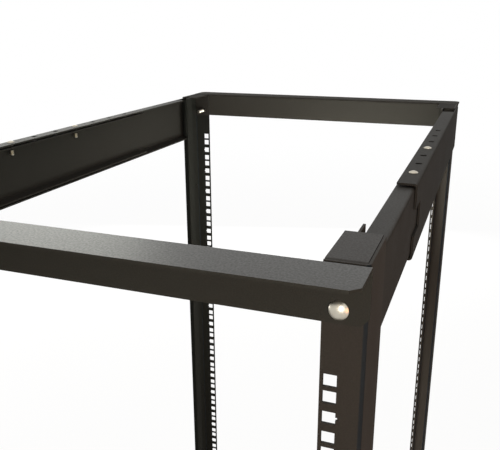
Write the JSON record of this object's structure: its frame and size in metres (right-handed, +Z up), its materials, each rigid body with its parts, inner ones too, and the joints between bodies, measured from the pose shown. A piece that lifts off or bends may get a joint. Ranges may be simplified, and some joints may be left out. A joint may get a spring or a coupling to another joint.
{
  "type": "four post open frame rack",
  "caption": "Open frame floor rack: channel posts with square holes, angle beams at front and rear, and telescoping side rails that set its depth.",
  "frame": {"origin": "middle of the footprint, on the floor, at the stored depth", "axes": "+Z up, front at -Y, +X to the right as seen from the front"},
  "size_m": [0.515, 0.914, 1.2495],
  "materials": {
    "post_paint": "black powder coat, fine grain, satin",
    "beam_paint": "black powder coat, fine grain, satin",
    "rail_paint": "black powder coat, fine grain, satin",
    "bracket_paint": "black powder coat, fine grain, satin",
    "bolt_zinc": "bright zinc plating"
  },
  "bodies": {
    "front_frame": {"front_left_post": "post_paint", "front_right_post": "post_paint", "front_top_beam": "beam_paint", "front_bottom_beam": "beam_paint", "front_left_top_bracket": "bracket_paint", "front_left_bottom_bracket": "bracket_paint", "front_right_top_bracket": "bracket_paint", "front_right_bottom_bracket": "bracket_paint", "left_top_inner_rail": "rail_paint", "left_bottom_inner_rail": "rail_paint", "right_top_inner_rail": "rail_paint", "right_bottom_inner_rail": "rail_paint"},
    "rear_frame": {"rear_left_post": "post_paint", "rear_right_post": "post_paint", "rear_top_beam": "beam_paint", "rear_bottom_beam": "beam_paint", "rear_left_top_bracket": "bracket_paint", "rear_left_bottom_bracket": "bracket_paint", "rear_right_top_bracket": "bracket_paint", "rear_right_bottom_bracket": "bracket_paint", "left_top_outer_rail": "rail_paint", "left_bottom_outer_rail": "rail_paint", "right_top_outer_rail": "rail_paint", "right_bottom_outer_rail": "rail_paint"}
  },
  "joints": [
    {"name": "depth_slide", "type": "slide", "parent": "front_frame", "child": "rear_frame", "axis": [0, 1, 0], "range_m": [-0.135, 0]}
  ]
}
